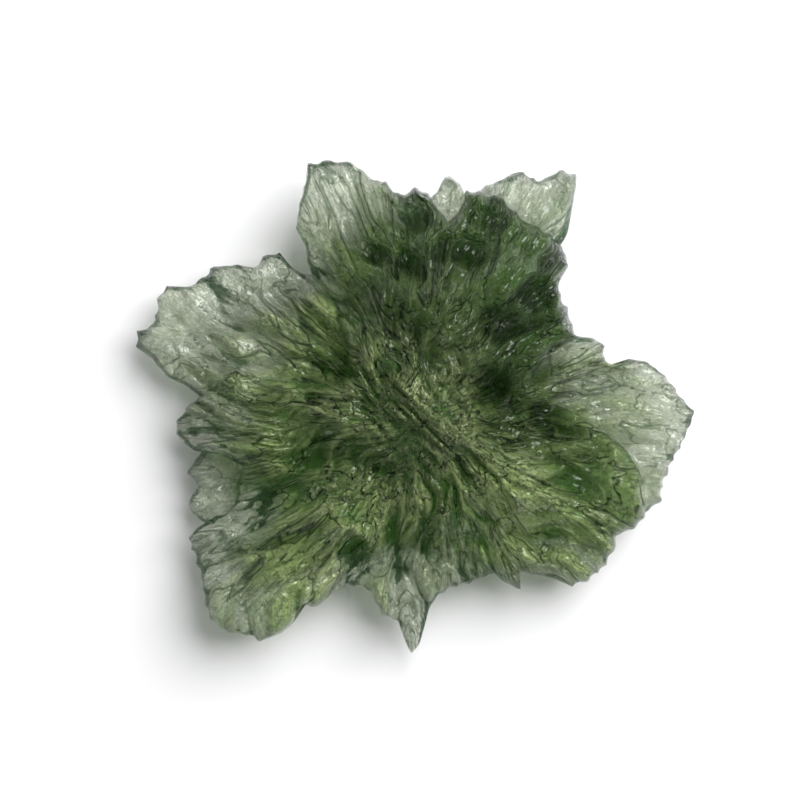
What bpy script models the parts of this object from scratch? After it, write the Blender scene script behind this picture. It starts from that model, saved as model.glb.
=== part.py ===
"""A moldavite: one natural piece of clear green tektite glass, deeply sculpted into a star.

A thick dark star of lobes lies over a plate of thin pale flaps, and the two are one solid.
Each of the two layers is a sphere primitive that is spread out to an outline and then moved
up or down by formulas: hand-set heights, sharp crests, grooves, bowls and flutes.
The origin is the middle of the small flat that the stone rests on, and +Z points up.
"""

import math

import bmesh
import bpy
import numpy as np

MM = 0.001

REST_SPOT_LENGTH = 9.0
REST_SPOT_WIDTH = 8.0
REST_SPOT_SINK = 0.35

UPPER_COLUMNS_PER_POINT = 2
UPPER_TOP_ROWS = 12
UPPER_UNDER_ROWS = 5
LOWER_COLUMNS_PER_POINT = 1
LOWER_TOP_ROWS = 7
LOWER_UNDER_ROWS = 4

UPPER_EDGE_ROUND = 0.9
LOWER_EDGE_ROUND = 0.5
LEAST_THICKNESS = 1.0
LEAST_UNDERSIDE = 0.3
HEIGHT_SPREAD = 2.1

FLUTES_AROUND = 22
FLUTE_LENGTH_RATIO = 1.9
FLUTE_DEPTH_RATIO = 0.26
FLUTE_LEVEL = 0.6
FLUTE_START_RADIUS = 2.4
FLUTE_FULL_RADIUS = 8.4
FLUTE_WIDEST_RADIUS = 12.0
HUB_SOFTENING = 0.4
CELL_MARGIN = 0.2

UPPER_SEED = 3
LOWER_SEED = 11
UNDERSIDE_SEED_STEP = 5

FLOOR_BLOCK_WIDTH = 60.0
FLOOR_BLOCK_DEPTH = 10.0

GLASS_GREEN = (0.10, 0.17, 0.06, 1.0)
GLASS_ROUGHNESS = 0.15
GLASS_IOR = 1.49

# Outline of the thick upper star, in millimetres from the hub, counterclockwise from +X.
UPPER_RIM = [
    (10.2, 0.6), (8.9, 1.3), (7.6, 2.0), (6.9, 3.1), (7.9, 4.5), (9.7, 5.4), (9.2, 6.2),
    (9.1, 6.9), (8.6, 7.8), (8.4, 8.8), (9.0, 9.8), (8.9, 10.7), (8.1, 11.7), (7.3, 12.3),
    (6.4, 12.8), (5.4, 13.6), (4.6, 14.4), (3.6, 14.4), (2.6, 14.6), (2.2, 13.4), (1.5, 12.6),
    (0.9, 13.4), (0.2, 14.5), (-0.6, 14.7), (-1.4, 14.3), (-2.0, 14.6), (-2.4, 15.2),
    (-3.4, 15.4), (-3.9, 15.9), (-4.8, 16.5), (-5.9, 16.4), (-7.3, 16.3), (-7.4, 15.2),
    (-7.8, 13.6), (-8.0, 12.2), (-7.4, 11.1), (-7.3, 10.1), (-6.9, 9.0), (-6.1, 7.4),
    (-5.5, 5.9), (-4.9, 4.2), (-4.7, 3.2), (-5.6, 2.7), (-7.6, 2.7), (-9.6, 3.0), (-11.8, 3.4),
    (-12.9, 2.7), (-14.6, 1.3), (-15.3, 0.5), (-15.7, -0.2), (-15.4, -1.0), (-14.4, -1.7),
    (-12.8, -1.9), (-11.4, -2.6), (-11.7, -3.6), (-11.9, -4.9), (-12.8, -5.6), (-14.2, -6.5),
    (-14.8, -7.2), (-14.5, -8.1), (-14.0, -9.6), (-13.8, -10.8), (-13.5, -12.1), (-12.8, -13.0),
    (-11.4, -13.2), (-10.2, -13.6), (-9.0, -13.2), (-8.2, -12.5), (-7.6, -11.4), (-6.6, -11.4),
    (-5.8, -10.7), (-4.8, -10.1), (-3.4, -10.4), (-3.1, -11.1), (-2.6, -12.0), (-1.6, -12.5),
    (-1.2, -13.6), (-0.8, -14.5), (-0.3, -13.9), (0.0, -12.9), (0.3, -11.7), (0.8, -10.9),
    (1.5, -10.4), (2.6, -10.1), (3.5, -9.8), (3.4, -8.6), (4.1, -9.1), (5.0, -9.9),
    (6.1, -10.5), (6.0, -9.3), (7.1, -9.5), (8.3, -9.8), (9.3, -10.2), (10.4, -9.8),
    (11.4, -9.0), (11.8, -8.0), (12.2, -7.0), (13.4, -6.4), (14.0, -5.6), (13.7, -4.2),
    (13.6, -2.9), (13.0, -2.0), (12.3, -1.2), (11.2, -0.3),
]

# Outline of the thin lower flaps, measured the same way. Its hidden stretches are short cuts.
LOWER_RIM = [
    (16.9, 0.1), (17.1, 0.8), (16.4, 1.3), (15.8, 2.3), (14.9, 3.3), (14.1, 3.9), (12.9, 4.1),
    (12.0, 3.7), (11.3, 4.0), (11.4, 5.0), (10.6, 5.4), (9.5, 5.6), (8.3, 6.2), (7.6, 8.0),
    (8.0, 10.2), (9.0, 11.9), (9.3, 13.3), (9.5, 14.7), (9.6, 15.6), (8.6, 15.9), (7.2, 15.2),
    (6.0, 15.9), (4.8, 15.3), (3.7, 14.8), (2.8, 13.8), (2.2, 15.2), (1.3, 15.5), (0.8, 14.5),
    (-1.0, 12.8), (-4.0, 11.2), (-6.3, 9.6), (-7.6, 9.4), (-8.5, 10.0), (-9.1, 10.8),
    (-10.0, 10.5), (-10.7, 9.8), (-11.8, 10.0), (-13.2, 9.9), (-14.1, 9.1), (-14.9, 8.6),
    (-16.1, 8.7), (-16.7, 8.1), (-16.9, 6.7), (-17.4, 6.0), (-18.1, 5.8), (-18.1, 4.8),
    (-17.1, 4.1), (-16.2, 3.0), (-14.8, 2.3), (-13.6, 1.2), (-13.2, -0.6), (-14.2, -1.9),
    (-14.9, -3.0), (-14.3, -3.9), (-14.9, -5.2), (-14.3, -6.0), (-12.8, -7.0), (-11.0, -9.3),
    (-8.0, -9.9), (-4.5, -8.7), (-1.0, -8.9), (1.8, -9.0), (3.6, -9.8), (4.4, -9.5), (5.3, -8.1),
    (8.5, -7.7), (11.5, -6.9), (13.8, -5.7), (14.9, -4.9), (15.2, -3.4), (15.8, -2.1),
    (16.5, -0.8),
]

# Hand-set heights in millimetres: a place, the height of the top there and of the underside.
UPPER_HEIGHTS = [
    (0.0, 0.0, 9.2, 0.4), (-1.0, 3.5, 9.0, 0.5), (3.0, 4.2, 8.9, 0.4), (4.0, 1.6, 6.2, 0.5),
    (7.4, 0.4, 5.6, 0.8), (7.0, 5.2, 7.6, 0.9), (8.0, 8.8, 7.4, 1.8), (4.6, 8.4, 8.8, 1.2),
    (1.0, 9.6, 8.4, 1.4), (-1.4, 7.0, 8.6, 0.8), (-3.6, 9.4, 6.6, 2.0), (-5.6, 10.0, 5.4, 2.6),
    (2.4, 12.4, 7.6, 2.2), (6.0, 12.0, 7.2, 2.2), (-2.0, 12.8, 6.2, 3.0), (-5.6, 12.6, 5.4, 3.4),
    (-6.0, 15.6, 5.1, 3.5), (-4.6, 1.4, 8.4, 0.6), (-8.0, 0.6, 6.8, 1.0), (-11.6, 1.8, 5.2, 2.2),
    (-15.0, 0.0, 3.8, 2.4), (-7.4, -3.6, 7.2, 0.8), (-10.6, -4.2, 5.2, 1.8), (-8.6, -7.4, 5.2, 1.3),
    (-13.4, -7.6, 3.6, 2.2), (-11.4, -9.8, 4.6, 2.0), (-12.4, -12.4, 5.0, 1.4), (-8.8, -11.4, 5.2, 1.3),
    (-4.0, -5.6, 7.0, 0.9), (-3.6, -9.6, 4.4, 1.7), (0.4, -4.6, 8.0, 0.7), (0.6, -9.6, 4.6, 1.4),
    (-0.8, -13.4, 3.2, 2.2), (4.4, -4.4, 7.8, 0.6), (5.4, -8.8, 5.2, 1.0), (9.4, -8.6, 4.8, 1.5),
    (8.4, -4.6, 6.8, 0.6), (12.6, -5.6, 6.0, 1.3), (12.2, -2.6, 6.2, 1.2), (9.8, -0.6, 6.0, 0.9),
]

LOWER_HEIGHTS = [
    (0.0, 0.0, 4.0, 0.6), (10.0, 1.8, 4.2, 1.0), (13.0, 1.6, 3.4, 1.3), (16.4, 0.6, 3.0, 1.9),
    (13.6, -3.6, 3.4, 1.5), (10.2, 4.6, 3.6, 1.5), (13.8, 3.6, 3.0, 1.8), (8.2, 12.0, 4.4, 2.3),
    (8.8, 15.2, 4.7, 3.0), (5.0, 14.6, 4.6, 2.9), (1.4, 14.8, 4.3, 3.2), (0.0, 9.0, 4.6, 2.0),
    (-6.6, 5.6, 5.4, 0.9), (-10.4, 5.4, 4.6, 1.2), (-9.6, 9.6, 3.8, 2.3), (-13.6, 8.6, 3.3, 2.0),
    (-13.4, 5.2, 3.7, 1.4), (-17.0, 6.6, 3.2, 1.9), (-15.4, 3.4, 3.2, 1.6), (-13.6, -2.8, 3.0, 1.6),
    (-13.8, -5.0, 3.0, 1.6), (-8.0, -6.0, 3.6, 1.0), (3.8, -9.2, 2.8, 1.4), (8.0, -6.0, 3.4, 0.9),
]

# Sharp lines on the top of the star: height (negative for a groove), width, points along it.
UPPER_LINES = [
    (1.3, 1.1, [(-2.2, 11.5), (-1.8, 9.9), (-0.9, 8.4), (1.2, 7.6), (3.5, 8.9), (5.5, 9.9)]),
    (0.9, 0.8, [(-3.6, 12.1), (-2.1, 11.2)]),
    (0.9, 0.8, [(0.2, 11.5), (0.1, 7.9)]),
    (0.7, 0.7, [(-6.2, 12.8), (-5.9, 11.8), (-4.5, 9.6)]),
    (0.8, 0.8, [(-0.6, 7.4), (1.2, 5.2)]),
    (0.7, 0.8, [(1.6, 3.1), (5.2, 4.1), (7.1, 4.5), (8.5, 5.6)]),
    (1.1, 0.9, [(-1.7, 2.6), (-0.9, 1.6), (0.8, 0.2), (1.9, -1.0)]),
    (1.2, 0.9, [(3.0, -0.8), (3.8, -2.5), (5.8, -4.6)]),
    (0.7, 0.7, [(-14.6, 1.4), (-12.0, 3.4), (-10.4, 3.2)]),
    (0.9, 0.8, [(-8.8, 2.5), (-6.5, 0.8), (-5.2, 0.3)]),
    (0.8, 0.8, [(-12.8, -1.7), (-10.7, -1.6), (-9.6, -2.8)]),
    (-1.3, 1.0, [(-12.0, -6.0), (-10.2, -5.0), (-7.5, -2.6), (-6.5, -2.2)]),
    (0.8, 0.8, [(-5.6, -5.1), (-9.6, -7.9), (-13.4, -9.9)]),
    (0.8, 0.8, [(-5.2, -6.0), (-9.9, -11.0)]),
    (0.9, 0.7, [(-6.2, -6.4), (-4.6, -6.3), (-3.4, -7.1)]),
    (-1.1, 0.7, [(-1.9, -5.8), (-1.6, -8.2), (-1.5, -9.7)]),
    (-1.1, 0.7, [(-0.2, -5.5), (0.0, -8.0)]),
    (-0.9, 0.7, [(2.7, -6.0), (2.6, -8.2)]),
    (1.1, 0.8, [(6.0, -3.6), (8.2, -5.2), (9.8, -6.2), (11.5, -7.8)]),
    (0.6, 0.7, [(11.8, -1.6), (11.8, -5.1)]),
    (1.2, 0.9, [(3.2, 4.0), (2.6, 1.6), (2.9, 0.2)]),
    (1.0, 0.8, [(6.6, 1.6), (6.2, 0.5), (6.5, -1.0)]),
]

LOWER_LINES = [
    (-1.0, 0.8, [(-14.6, 8.8), (-13.7, 7.1), (-12.9, 6.4), (-11.4, 5.8)]),
    (0.8, 0.8, [(-12.6, 9.7), (-11.8, 8.9), (-10.7, 7.9)]),
    (0.6, 0.7, [(-16.6, 8.4), (-14.6, 6.9), (-15.2, 5.9)]),
    (0.7, 0.8, [(7.2, 1.5), (10.4, 0.5), (12.6, -0.4), (15.2, -1.4)]),
    (0.5, 0.6, [(12.4, 0.9), (13.8, 0.2), (14.8, 0.4)]),
    (0.5, 0.6, [(13.5, 2.6), (13.8, 1.5), (16.3, 1.2)]),
    (0.6, 0.8, [(11.3, 5.2), (7.6, 3.1)]),
]

# Bowl-shaped cells in the top of the star: middle, radius and depth.
UPPER_BOWLS = [
    (-0.7, 9.8, 1.7, 1.4), (-2.8, 10.7, 1.1, 0.9), (-0.7, 12.8, 1.3, 1.0), (1.2, 10.9, 1.1, 0.9),
    (2.9, 10.6, 1.3, 1.1), (4.1, 13.0, 1.5, 1.1), (6.9, 8.0, 1.4, 1.0), (-14.0, -5.1, 0.9, 0.4),
    (-4.5, -7.9, 1.2, 1.2), (3.9, 2.4, 1.6, 1.3), (7.7, 0.6, 1.6, 1.1), (4.6, 6.2, 1.5, 0.8),
    (9.6, -3.2, 1.8, 0.8), (-7.4, 1.9, 1.1, 0.6), (-10.0, -7.2, 1.3, 0.7), (7.6, -7.4, 1.4, 0.8),
]

LOWER_BOWLS = [
    (-12.8, 7.9, 0.9, 0.5), (-14.9, 4.6, 1.2, 0.6), (-10.2, 4.8, 1.6, 0.7), (-9.3, 8.2, 1.3, 0.6),
    (-7.1, 3.3, 1.2, 0.7), (11.4, 2.8, 1.3, 0.7), (15.2, 2.0, 1.0, 0.5), (14.6, -1.0, 1.0, 0.4),
]


def clear_scene():
    """Remove every object of the scene that the script is run in."""
    for item in list(bpy.data.objects):
        bpy.data.objects.remove(item, do_unlink=True)


def new_collection(name):
    """Return a new collection linked to the scene."""
    group = bpy.data.collections.new(name)
    bpy.context.scene.collection.children.link(group)
    return group


def line_distance(x, y, points):
    """Distance in the plan from each (x, y) to the nearest stretch of an open line of points."""
    nearest = np.full(x.shape, np.inf)
    for (ax, ay), (bx, by) in zip(points, points[1:]):
        dx = bx - ax
        dy = by - ay
        along = ((x - ax) * dx + (y - ay) * dy) / (dx * dx + dy * dy)
        along = np.clip(along, 0.0, 1.0)
        nearest = np.minimum(nearest, np.hypot(x - ax - along * dx, y - ay - along * dy))
    return nearest


def blended_heights(x, y, table):
    """Top and underside heights: the table's rows, each weighted by exp(-(distance / spread)^2)."""
    total = np.zeros(x.shape)
    top = np.zeros(x.shape)
    under = np.zeros(x.shape)
    for px, py, row_top, row_under in table:
        weight = np.exp(-((x - px) ** 2 + (y - py) ** 2) / HEIGHT_SPREAD ** 2) + 1e-9
        total += weight
        top += weight * row_top
        under += weight * row_under
    return top / total, under / total


def line_relief(x, y, lines):
    """Sum of the crests and grooves: each is height * exp(-distance / width), sharp on its line."""
    relief = np.zeros(x.shape)
    for height, width, points in lines:
        relief += height * np.exp(-line_distance(x, y, points) / width)
    return relief


def bowl_relief(x, y, bowls):
    """Round hollows: -depth * (1 - (distance / radius)^2) inside each radius, with a sharp lip."""
    relief = np.zeros(x.shape)
    for px, py, radius, depth in bowls:
        inside = 1.0 - ((x - px) ** 2 + (y - py) ** 2) / radius ** 2
        relief -= depth * np.maximum(inside, 0.0)
    return relief


def scatter(i, j, seed):
    """A fixed number from 0 to 1 for each cell (i, j): the fraction of a large sine."""
    value = np.sin(i * 127.1 + j * 311.7 + seed * 74.7) * 43758.5453
    return value - np.floor(value)


def bent_polar(x, y):
    """Angle and logarithm of the radius, both bent by slow waves so that the flutes meander."""
    angle = np.arctan2(y, x)
    level = np.log(np.hypot(x, y) + HUB_SOFTENING)
    bend = 0.10 * np.sin(4.3 * level + 2.0 * angle + 1.0) + 0.04 * np.sin(7.0 * angle + 9.0 * level)
    shift = 0.12 * np.sin(5.0 * angle + 2.0 * level + 2.0) + 0.05 * np.sin(13.0 * angle - 5.0 * level)
    return angle + bend, level + shift


def flutes(x, y, seed):
    """Radial hollows with sharp borders between them, 0 in each middle and up to 1 on a border.

    The plane is cut into cells by the bent angle and logarithm of the radius, so the cells
    point to the hub and shrink towards it. The value is the squared distance to the nearest
    cell's own middle point, which is scattered inside the cell's margins.
    """
    turn = FLUTES_AROUND / (2.0 * math.pi)
    inside = 1.0 - 2.0 * CELL_MARGIN
    angle, level = bent_polar(x, y)
    u = angle * turn
    v = level * turn / FLUTE_LENGTH_RATIO
    iu = np.floor(u)
    iv = np.floor(v)
    nearest = np.ones(x.shape)
    for step_u in (-1, 0, 1):
        for step_v in (-1, 0, 1):
            cu = iu + step_u
            cv = iv + step_v
            wrapped = np.mod(cu, FLUTES_AROUND)
            du = cu + CELL_MARGIN + inside * scatter(wrapped, cv, seed) - u
            dv = cv + CELL_MARGIN + inside * scatter(wrapped, cv, seed + 1) - v
            nearest = np.minimum(nearest, du * du + dv * dv)
    return nearest


def fluting(x, y, seed):
    """Height of the flutes: a share of their width, which grows with the radius, and none at the hub."""
    radius = np.hypot(x, y)
    width = 2.0 * math.pi * np.minimum(radius, FLUTE_WIDEST_RADIUS) / FLUTES_AROUND
    rise = (radius - FLUTE_START_RADIUS) / (FLUTE_FULL_RADIUS - FLUTE_START_RADIUS)
    depth = FLUTE_DEPTH_RATIO * width * np.clip(rise, 0.0, 1.0)
    return depth * (2.0 * flutes(x, y, seed) - FLUTE_LEVEL)


def layer_surfaces(x, y, heights, lines, bowls, seed):
    """Top and underside of one layer before its edge is rounded.

    Near the rest spot the underside sinks just below the floor plane, which is cut level later.
    """
    top, under = blended_heights(x, y, heights)
    top += line_relief(x, y, lines) + bowl_relief(x, y, bowls) + fluting(x, y, seed)
    under -= fluting(x, y, seed + UNDERSIDE_SEED_STEP)
    spot = 2.0 * np.hypot(x / REST_SPOT_LENGTH, y / REST_SPOT_WIDTH)
    under = np.maximum(under, LEAST_UNDERSIDE) * np.clip(spot - 1.0, 0.0, 1.0)
    under -= REST_SPOT_SINK * np.maximum(1.0 - spot ** 2, 0.0)
    return top, under


def rim_distance(x, y, rim):
    """Distance in the plan to the closed outline."""
    return line_distance(x, y, rim + rim[:1])


def rim_points(rim, position):
    """Points of the closed outline at fractional positions, straight between its own points."""
    closed = np.array(rim + rim[:1])
    steps = np.arange(len(closed))
    return np.interp(position, steps, closed[:, 0]), np.interp(position, steps, closed[:, 1])


def make_layer(name, rim, grid, edge_round, surfaces):
    """Spread a sphere primitive out to an outline and move it up and down to its surfaces.

    Each meridian of the sphere runs out along a straight ray to a point of the outline.
    The share of the way out, s, is q * (1.5 - 0.5 * q) for the fraction q of the rows passed.
    """
    columns_per_point, top_rows, under_rows = grid
    columns = len(rim) * columns_per_point
    bm = bmesh.new()
    bmesh.ops.create_uvsphere(
        bm, u_segments=columns, v_segments=top_rows + under_rows, radius=1.0)
    ball = np.array([vertex.co[:] for vertex in bm.verts])
    column = np.arctan2(ball[:, 1], ball[:, 0]) / (2.0 * math.pi) * columns
    column = np.mod(np.rint(column), columns)
    row = np.rint(np.arccos(np.clip(ball[:, 2], -1.0, 1.0)) / math.pi * (top_rows + under_rows))
    on_top = row <= top_rows
    q = np.where(on_top, row / top_rows, (top_rows + under_rows - row) / under_rows)
    share = q * (1.5 - 0.5 * q)
    edge_x, edge_y = rim_points(rim, column / columns_per_point)
    x = edge_x * share
    y = edge_y * share
    top, under = surfaces(x, y)
    thin = 0.5 * np.maximum(LEAST_THICKNESS - (top - under), 0.0)
    top += thin
    under -= thin
    near = 1.0 - np.clip(rim_distance(x, y, rim) / edge_round, 0.0, 1.0)
    round_off = np.sqrt(np.maximum(1.0 - near ** 2, 0.0))
    middle = 0.5 * (top + under)
    z = middle + np.where(on_top, top - middle, under - middle) * round_off
    for vertex, px, py, pz in zip(bm.verts, x, y, z):
        vertex.co = (px * MM, py * MM, pz * MM)
    mesh = bpy.data.meshes.new(name)
    bm.to_mesh(mesh)
    bm.free()
    return bpy.data.objects.new(name, mesh)


def upper_surfaces(x, y):
    """Top and underside of the thick star."""
    return layer_surfaces(x, y, UPPER_HEIGHTS, UPPER_LINES, UPPER_BOWLS, UPPER_SEED)


def lower_surfaces(x, y):
    """Top and underside of the thin flaps."""
    return layer_surfaces(x, y, LOWER_HEIGHTS, LOWER_LINES, LOWER_BOWLS, LOWER_SEED)


def floor_block():
    """A box whose top is the plane that the stone rests on."""
    bm = bmesh.new()
    bmesh.ops.create_cube(bm, size=1.0)
    width = FLOOR_BLOCK_WIDTH * MM
    depth = FLOOR_BLOCK_DEPTH * MM
    bmesh.ops.scale(bm, vec=(width, width, depth), verts=bm.verts)
    bmesh.ops.translate(bm, vec=(0.0, 0.0, -0.5 * depth), verts=bm.verts)
    mesh = bpy.data.meshes.new("rest_plane")
    bm.to_mesh(mesh)
    bm.free()
    return bpy.data.objects.new("rest_plane", mesh)


def combine(stone, operand, operation, group):
    """Add a Boolean with a guide object to the stone.

    The exact solver loses the star where its sharp notches meet the flaps, and this one doesn't.
    """
    group.objects.link(operand)
    operand.hide_render = True
    operand.display_type = "WIRE"
    boolean = stone.modifiers.new(operand.name, "BOOLEAN")
    boolean.operation = operation
    boolean.solver = "MANIFOLD"
    boolean.object = operand


def glass_material():
    """Clear green natural glass."""
    material = bpy.data.materials.new("green_tektite_glass")
    material.use_nodes = True
    shader = material.node_tree.nodes["Principled BSDF"]
    shader.inputs["Base Color"].default_value = GLASS_GREEN
    shader.inputs["Roughness"].default_value = GLASS_ROUGHNESS
    shader.inputs["Metallic"].default_value = 0.0
    shader.inputs["IOR"].default_value = GLASS_IOR
    shader.inputs["Transmission Weight"].default_value = 1.0
    return material


def main():
    """Model the stone in its own collection, and its guides in another."""
    clear_scene()
    parts = new_collection("moldavite")
    guides = new_collection("cutters")
    upper_grid = (UPPER_COLUMNS_PER_POINT, UPPER_TOP_ROWS, UPPER_UNDER_ROWS)
    lower_grid = (LOWER_COLUMNS_PER_POINT, LOWER_TOP_ROWS, LOWER_UNDER_ROWS)
    stone = make_layer("moldavite", UPPER_RIM, upper_grid, UPPER_EDGE_ROUND, upper_surfaces)
    flaps = make_layer("flaps", LOWER_RIM, lower_grid, LOWER_EDGE_ROUND, lower_surfaces)
    parts.objects.link(stone)
    stone.data.materials.append(glass_material())
    combine(stone, flaps, "UNION", guides)
    combine(stone, floor_block(), "DIFFERENCE", guides)


main()
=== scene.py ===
# %% [markdown]
# A moldavite is a splash of natural green glass that flew through the air as a molten drop and then lay
# in acid soil for millions of years. The soil etched it into a star of deep flutes. This lesson rebuilds
# one such stone, about 35 mm across, as a single closed mesh with a glass material.

# %% Load the frame
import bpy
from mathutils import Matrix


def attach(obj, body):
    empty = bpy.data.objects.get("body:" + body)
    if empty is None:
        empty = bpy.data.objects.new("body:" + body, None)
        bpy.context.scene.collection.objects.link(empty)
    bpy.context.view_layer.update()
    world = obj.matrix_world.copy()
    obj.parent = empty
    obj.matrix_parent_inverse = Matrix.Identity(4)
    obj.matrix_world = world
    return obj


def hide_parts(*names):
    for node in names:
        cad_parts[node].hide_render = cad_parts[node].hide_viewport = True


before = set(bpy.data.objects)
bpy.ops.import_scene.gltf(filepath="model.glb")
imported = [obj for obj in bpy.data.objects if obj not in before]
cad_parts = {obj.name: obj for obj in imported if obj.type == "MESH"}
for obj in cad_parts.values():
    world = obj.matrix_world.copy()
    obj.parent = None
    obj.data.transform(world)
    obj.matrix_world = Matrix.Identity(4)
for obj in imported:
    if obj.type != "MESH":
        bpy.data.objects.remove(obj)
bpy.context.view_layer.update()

# %% Tools of the lesson
import math

import bmesh
import bpy
import numpy as np

MM = 0.001
TINY_WEIGHT = 1e-9
FAR_AWAY = 9.0
UPPER_SEED = 3
LOWER_SEED = 11
UNDERSIDE_SEED_STEP = 5
scene = bpy.context.scene
rest_spot_z = 0.0
print("units: one millimetre is", MM, "scene units")

# %% [markdown]
# The plan of the stone comes first. Two outlines are read off the photograph, in millimetres from the hub
# where all the ridges meet. The upper one is the thick dark star. The lower one is the ring of thin pale
# flaps that spread out from under it. On the real stone both are one piece of glass.

# %% Outline of the thick star
UPPER_RIM = np.array([
    (10.2, 0.6), (8.9, 1.3), (7.6, 2.0), (6.9, 3.1), (7.9, 4.5), (9.7, 5.4), (9.2, 6.2),
    (9.1, 6.9), (8.6, 7.8), (8.4, 8.8), (9.0, 9.8), (8.9, 10.7), (8.1, 11.7), (7.3, 12.3),
    (6.4, 12.8), (5.4, 13.6), (4.6, 14.4), (3.6, 14.4), (2.6, 14.6), (2.2, 13.4), (1.5, 12.6),
    (0.9, 13.4), (0.2, 14.5), (-0.6, 14.7), (-1.4, 14.3), (-2.0, 14.6), (-2.4, 15.2),
    (-3.4, 15.4), (-3.9, 15.9), (-4.8, 16.5), (-5.9, 16.4), (-7.3, 16.3), (-7.4, 15.2),
    (-7.8, 13.6), (-8.0, 12.2), (-7.4, 11.1), (-7.3, 10.1), (-6.9, 9.0), (-6.1, 7.4),
    (-5.5, 5.9), (-4.9, 4.2), (-4.7, 3.2), (-5.6, 2.7), (-7.6, 2.7), (-9.6, 3.0), (-11.8, 3.4),
    (-12.9, 2.7), (-14.6, 1.3), (-15.3, 0.5), (-15.7, -0.2), (-15.4, -1.0), (-14.4, -1.7),
    (-12.8, -1.9), (-11.4, -2.6), (-11.7, -3.6), (-11.9, -4.9), (-12.8, -5.6), (-14.2, -6.5),
    (-14.8, -7.2), (-14.5, -8.1), (-14.0, -9.6), (-13.8, -10.8), (-13.5, -12.1), (-12.8, -13.0),
    (-11.4, -13.2), (-10.2, -13.6), (-9.0, -13.2), (-8.2, -12.5), (-7.6, -11.4), (-6.6, -11.4),
    (-5.8, -10.7), (-4.8, -10.1), (-3.4, -10.4), (-3.1, -11.1), (-2.6, -12.0), (-1.6, -12.5),
    (-1.2, -13.6), (-0.8, -14.5), (-0.3, -13.9), (0.0, -12.9), (0.3, -11.7), (0.8, -10.9),
    (1.5, -10.4), (2.6, -10.1), (3.5, -9.8), (3.4, -8.6), (4.1, -9.1), (5.0, -9.9),
    (6.1, -10.5), (6.0, -9.3), (7.1, -9.5), (8.3, -9.8), (9.3, -10.2), (10.4, -9.8),
    (11.4, -9.0), (11.8, -8.0), (12.2, -7.0), (13.4, -6.4), (14.0, -5.6), (13.7, -4.2),
    (13.6, -2.9), (13.0, -2.0), (12.3, -1.2), (11.2, -0.3),
])
print("star outline:", len(UPPER_RIM), "points")

# %% Outline of the thin flaps
LOWER_RIM = np.array([
    (16.9, 0.1), (17.1, 0.8), (16.4, 1.3), (15.8, 2.3), (14.9, 3.3), (14.1, 3.9), (12.9, 4.1),
    (12.0, 3.7), (11.3, 4.0), (11.4, 5.0), (10.6, 5.4), (9.5, 5.6), (8.3, 6.2), (7.6, 8.0),
    (8.0, 10.2), (9.0, 11.9), (9.3, 13.3), (9.5, 14.7), (9.6, 15.6), (8.6, 15.9), (7.2, 15.2),
    (6.0, 15.9), (4.8, 15.3), (3.7, 14.8), (2.8, 13.8), (2.2, 15.2), (1.3, 15.5), (0.8, 14.5),
    (-1.0, 12.8), (-4.0, 11.2), (-6.3, 9.6), (-7.6, 9.4), (-8.5, 10.0), (-9.1, 10.8),
    (-10.0, 10.5), (-10.7, 9.8), (-11.8, 10.0), (-13.2, 9.9), (-14.1, 9.1), (-14.9, 8.6),
    (-16.1, 8.7), (-16.7, 8.1), (-16.9, 6.7), (-17.4, 6.0), (-18.1, 5.8), (-18.1, 4.8),
    (-17.1, 4.1), (-16.2, 3.0), (-14.8, 2.3), (-13.6, 1.2), (-13.2, -0.6), (-14.2, -1.9),
    (-14.9, -3.0), (-14.3, -3.9), (-14.9, -5.2), (-14.3, -6.0), (-12.8, -7.0), (-11.0, -9.3),
    (-8.0, -9.9), (-4.5, -8.7), (-1.0, -8.9), (1.8, -9.0), (3.6, -9.8), (4.4, -9.5), (5.3, -8.1),
    (8.5, -7.7), (11.5, -6.9), (13.8, -5.7), (14.9, -4.9), (15.2, -3.4), (15.8, -2.1),
    (16.5, -0.8),
])
print("flap outline:", len(LOWER_RIM), "points")
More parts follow.
